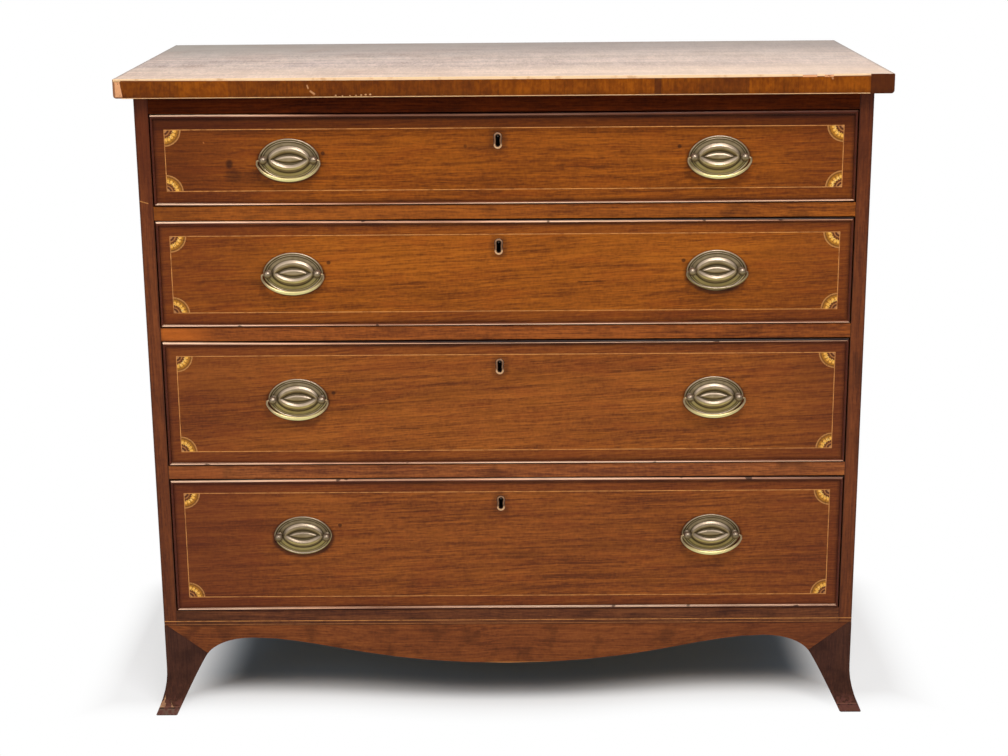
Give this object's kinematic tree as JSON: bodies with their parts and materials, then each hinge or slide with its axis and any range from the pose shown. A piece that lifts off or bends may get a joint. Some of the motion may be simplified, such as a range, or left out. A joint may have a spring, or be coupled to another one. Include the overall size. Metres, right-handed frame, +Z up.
{
  "type": "chest of drawers",
  "caption": "Mahogany chest of long graduated drawers with cockbeaded fronts, oval drop-bail pulls, locks, a shaped apron and splayed bracket feet.",
  "frame": {"origin": "on the floor, under the middle of the top board", "axes": "+Z up, -Y towards the person who opens the drawers, +X to that person's right"},
  "size_m": [1.04, 0.492, 0.9236],
  "materials": {
    "case_mahogany": "french polished, warm red-brown mahogany",
    "dark_mahogany": "french polished, darker mahogany",
    "linings": "bare aged pine",
    "brass": "antique, rubbed bright on the grips",
    "lock_iron": "dark, dry iron"
  },
  "bodies": {
    "carcass": {"top_board": "case_mahogany", "side_left": "case_mahogany", "side_right": "case_mahogany", "back_panel": "linings", "top_rail": "dark_mahogany", "upper_divider": "dark_mahogany", "middle_divider": "dark_mahogany", "lower_divider": "dark_mahogany", "bottom_board": "dark_mahogany", "front_apron": "case_mahogany", "side_apron_left": "case_mahogany", "side_apron_right": "case_mahogany", "foot_front_left": "dark_mahogany", "foot_front_right": "dark_mahogany", "foot_rear_left": "dark_mahogany", "foot_rear_right": "dark_mahogany"},
    "top_drawer": {"top_drawer_front": "case_mahogany", "top_drawer_side_left": "linings", "top_drawer_side_right": "linings", "top_drawer_back": "linings", "top_drawer_bottom": "linings", "top_pull_plate_left": "brass", "top_pull_plate_right": "brass", "top_lock_case": "lock_iron"},
    "top_left_bail": {"top_bail_left": "brass"},
    "top_right_bail": {"top_bail_right": "brass"},
    "top_bolt": {"top_lock_bolt": "brass"},
    "second_drawer": {"second_drawer_front": "case_mahogany", "second_drawer_side_left": "linings", "second_drawer_side_right": "linings", "second_drawer_back": "linings", "second_drawer_bottom": "linings", "second_pull_plate_left": "brass", "second_pull_plate_right": "brass", "second_lock_case": "lock_iron"},
    "second_left_bail": {"second_bail_left": "brass"},
    "second_right_bail": {"second_bail_right": "brass"},
    "second_bolt": {"second_lock_bolt": "brass"},
    "third_drawer": {"third_drawer_front": "case_mahogany", "third_drawer_side_left": "linings", "third_drawer_side_right": "linings", "third_drawer_back": "linings", "third_drawer_bottom": "linings", "third_pull_plate_left": "brass", "third_pull_plate_right": "brass", "third_lock_case": "lock_iron"},
    "third_left_bail": {"third_bail_left": "brass"},
    "third_right_bail": {"third_bail_right": "brass"},
    "third_bolt": {"third_lock_bolt": "brass"},
    "bottom_drawer": {"bottom_drawer_front": "case_mahogany", "bottom_drawer_side_left": "linings", "bottom_drawer_side_right": "linings", "bottom_drawer_back": "linings", "bottom_drawer_bottom": "linings", "bottom_pull_plate_left": "brass", "bottom_pull_plate_right": "brass", "bottom_lock_case": "lock_iron"},
    "bottom_right_bail": {"bottom_bail_right": "brass"},
    "bottom_bolt": {"bottom_lock_bolt": "brass"}
  },
  "joints": [
    {"name": "top_drawer_slide", "type": "slide", "parent": "carcass", "child": "top_drawer", "axis": [0, -1, 0], "range_m": [0, 0.38]},
    {"name": "top_left_bail_swing", "type": "hinge", "parent": "top_drawer", "child": "top_left_bail", "pos_m": [-0.291, -0.2365, 0.8119], "axis": [-1, 0, 0], "range_deg": [0, 175]},
    {"name": "top_right_bail_swing", "type": "hinge", "parent": "top_drawer", "child": "top_right_bail", "pos_m": [0.291, -0.2365, 0.8119], "axis": [-1, 0, 0], "range_deg": [0, 175]},
    {"name": "top_bolt_throw", "type": "slide", "parent": "top_drawer", "child": "top_bolt", "axis": [0, 0, 1], "range_m": [0, 0.008]},
    {"name": "second_drawer_slide", "type": "slide", "parent": "carcass", "child": "second_drawer", "axis": [0, -1, 0], "range_m": [0, 0.38]},
    {"name": "second_left_bail_swing", "type": "hinge", "parent": "second_drawer", "child": "second_left_bail", "pos_m": [-0.291, -0.2365, 0.655], "axis": [-1, 0, 0], "range_deg": [0, 175]},
    {"name": "second_right_bail_swing", "type": "hinge", "parent": "second_drawer", "child": "second_right_bail", "pos_m": [0.291, -0.2365, 0.655], "axis": [-1, 0, 0], "range_deg": [0, 175]},
    {"name": "second_bolt_throw", "type": "slide", "parent": "second_drawer", "child": "second_bolt", "axis": [0, 0, 1], "range_m": [0, 0.008]},
    {"name": "third_drawer_slide", "type": "slide", "parent": "carcass", "child": "third_drawer", "axis": [0, -1, 0], "range_m": [0, 0.38]},
    {"name": "third_left_bail_swing", "type": "hinge", "parent": "third_drawer", "child": "third_left_bail", "pos_m": [-0.291, -0.2365, 0.4755], "axis": [-1, 0, 0], "range_deg": [0, 175]},
    {"name": "third_right_bail_swing", "type": "hinge", "parent": "third_drawer", "child": "third_right_bail", "pos_m": [0.291, -0.2365, 0.4755], "axis": [-1, 0, 0], "range_deg": [0, 175]},
    {"name": "third_bolt_throw", "type": "slide", "parent": "third_drawer", "child": "third_bolt", "axis": [0, 0, 1], "range_m": [0, 0.008]},
    {"name": "bottom_drawer_slide", "type": "slide", "parent": "carcass", "child": "bottom_drawer", "axis": [0, -1, 0], "range_m": [0, 0.38]},
    {"name": "bottom_right_bail_swing", "type": "hinge", "parent": "bottom_drawer", "child": "bottom_right_bail", "pos_m": [0.291, -0.2365, 0.2723], "axis": [-1, 0, 0], "range_deg": [0, 175]},
    {"name": "bottom_bolt_throw", "type": "slide", "parent": "bottom_drawer", "child": "bottom_bolt", "axis": [0, 0, 1], "range_m": [0, 0.008]}
  ]
}
